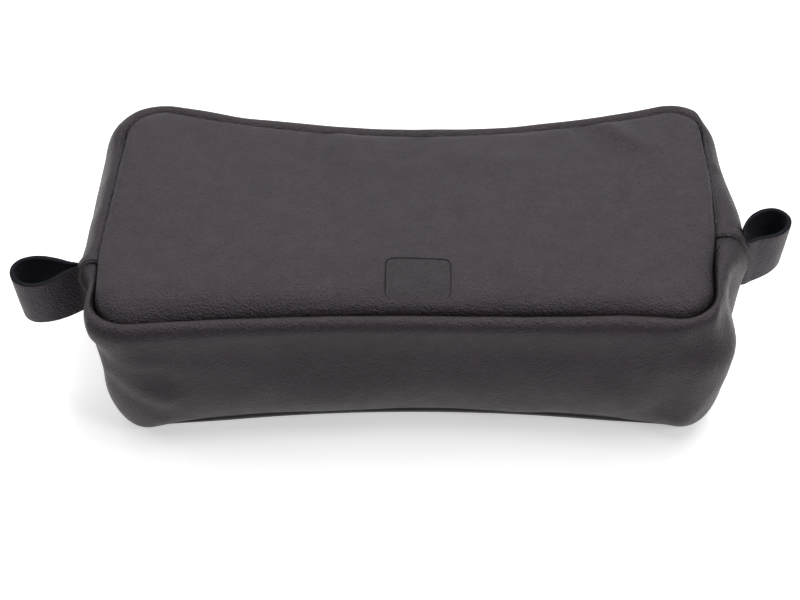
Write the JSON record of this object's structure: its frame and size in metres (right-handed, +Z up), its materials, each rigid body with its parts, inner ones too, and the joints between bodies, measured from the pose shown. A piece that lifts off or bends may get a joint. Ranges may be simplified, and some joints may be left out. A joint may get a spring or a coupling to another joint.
{
  "type": "leather toiletry case",
  "caption": "Soft rectangular leather toiletry case on its back, panels joined by a gusset, zip round one long side, a leather loop at each end.",
  "frame": {"origin": "middle of the back panel's resting face, on the floor", "axes": "+X along the case's length to the end with the bottom stop of the zip, +Y across it to the zip side, +Z up out of the front panel"},
  "size_m": [0.2971, 0.135, 0.0662],
  "materials": {
    "body_leather": "satin, fine grain",
    "strap_leather": "satin, raw cut edges",
    "seam_binding_cloth": "matt woven",
    "zip_tape_cloth": "matt woven",
    "antique_brass": "antique, satin",
    "dark_thread": "waxed thread"
  },
  "bodies": {
    "case": {"back_panel": "body_leather", "bottom_gusset": "body_leather", "front_panel_near": "body_leather", "zip_gusset_back": "body_leather", "left_end_band": "body_leather", "right_end_band": "body_leather", "left_loop_tail": "strap_leather", "right_loop_tail": "strap_leather", "back_binding": "seam_binding_cloth", "front_binding_near": "seam_binding_cloth", "zip_tape_back": "zip_tape_cloth", "zip_teeth_back": "antique_brass", "zip_top_stop_front": "antique_brass", "zip_top_stop_back": "antique_brass", "zip_bottom_stop": "antique_brass", "zip_stitching_back": "dark_thread", "left_end_stitching": "dark_thread", "right_end_stitching": "dark_thread"},
    "mouth": {"front_panel_flap": "body_leather", "zip_gusset_front": "body_leather", "front_binding_flap": "seam_binding_cloth", "zip_tape_front": "zip_tape_cloth", "zip_teeth_front": "antique_brass", "zip_stitching_front": "dark_thread"},
    "slider": {"zip_slider_body": "antique_brass", "zip_slider_bridge": "antique_brass"},
    "link": {"pull_link": "antique_brass"},
    "tab": {"pull_tab": "antique_brass"},
    "left_loop": {"left_loop": "strap_leather"},
    "right_loop": {"right_loop": "strap_leather"}
  },
  "joints": [
    {"name": "mouth_open", "type": "hinge", "parent": "case", "child": "mouth", "pos_m": [0, -0.01266, 0.065], "axis": [0.9983, 0.0586, 0], "range_deg": [0, 30], "deforming": ["zip_tape_front", "zip_teeth_front"]},
    {"name": "zip_slide", "type": "slide", "parent": "case", "child": "slider", "axis": [0, 1, 0], "range_m": [0, 0.042], "deforming": ["zip_teeth_back"]},
    {"name": "link_swing", "type": "hinge", "parent": "slider", "child": "link", "pos_m": [-0.12316, -0.00775, 0.03185], "axis": [0, 1, 0], "range_deg": [0, 100]},
    {"name": "tab_swing", "type": "hinge", "parent": "link", "child": "tab", "pos_m": [-0.12316, -0.00775, 0.0263], "axis": [1, 0, 0], "range_deg": [-8, 35]},
    {"name": "left_loop_fold", "type": "hinge", "parent": "case", "child": "left_loop", "pos_m": [-0.12541, -0.02, 0.0435], "axis": [0, 0, 1], "range_deg": [0, 35]},
    {"name": "right_loop_fold", "type": "hinge", "parent": "case", "child": "right_loop", "pos_m": [0.12541, -0.006, 0.0435], "axis": [0, 0, 1], "range_deg": [-90, 0]}
  ]
}
